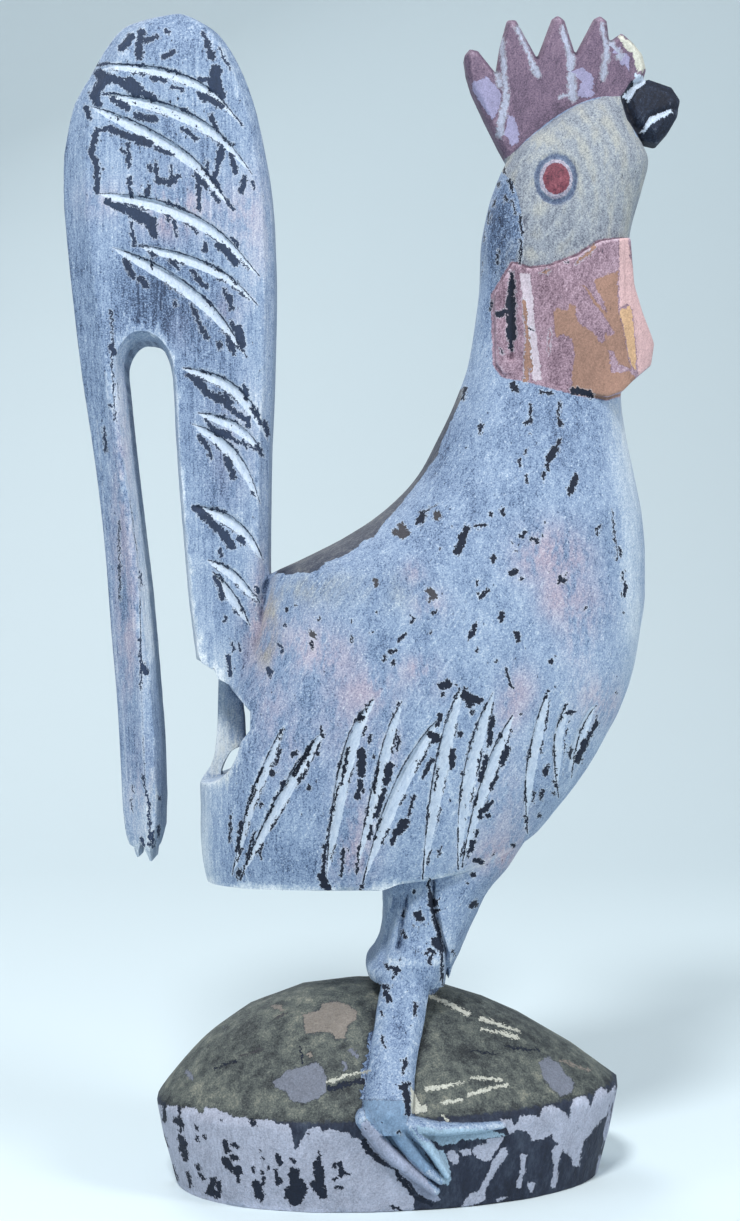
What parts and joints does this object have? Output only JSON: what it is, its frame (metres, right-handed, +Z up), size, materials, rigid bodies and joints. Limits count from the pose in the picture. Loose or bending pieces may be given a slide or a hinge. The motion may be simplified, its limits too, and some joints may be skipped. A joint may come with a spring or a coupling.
{
  "type": "painted wooden rooster carving",
  "caption": "Standing rooster carved from one block of wood with its low mound, with a tall slotted tail, worn whitish paint and a flat underside to rest on.",
  "frame": {"origin": "middle of the overall outline at the underside of the mound", "axes": "+X the way the bird faces, +Y its left side, +Z up"},
  "size_m": [0.245, 0.1298, 0.4613],
  "materials": {
    "painted_wood": "old whitish paint worn and flaked over a near-black ground, with rose, black and mauve areas"
  },
  "bodies": {
    "root": {"rooster_carving": "painted_wood"}
  },
  "joints": []
}
